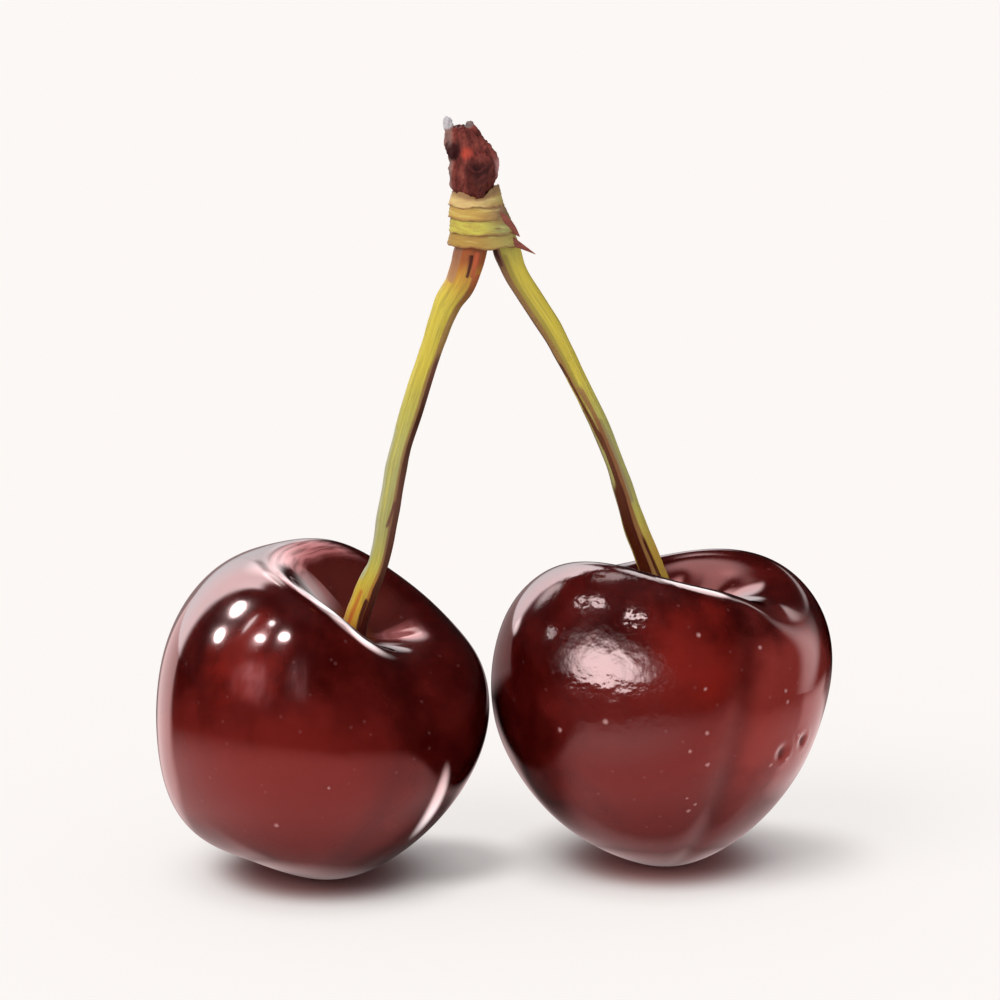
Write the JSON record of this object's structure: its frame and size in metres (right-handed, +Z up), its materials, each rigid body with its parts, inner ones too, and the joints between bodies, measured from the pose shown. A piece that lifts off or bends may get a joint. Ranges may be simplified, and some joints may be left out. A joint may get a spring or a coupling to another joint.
{
  "type": "pair of cherries on stalks",
  "caption": "Ripe sweet cherries on their stalks, joined at the top by the woody tip of the fruiting spur; stands on its fruits.",
  "frame": {"origin": "on the ground, under the middle of the pair's outer box", "axes": "+Z up along the stalks, +X to the right from one fruit to the other, +Y away from the front"},
  "size_m": [0.0538, 0.0292, 0.0614],
  "materials": {
    "cherry_skin": "glossy dark red fruit skin",
    "stalk": "green to yellow stalk, brown-red along one side",
    "bud_scale": "dry tan and yellow-green scales",
    "spur_bark": "dark red-brown bark"
  },
  "bodies": {
    "root": {"cherry_left": "cherry_skin", "cherry_right": "cherry_skin", "stalk_left": "stalk", "stalk_right": "stalk", "bud_scale_collar": "bud_scale", "spur_wood": "spur_bark"}
  },
  "joints": []
}
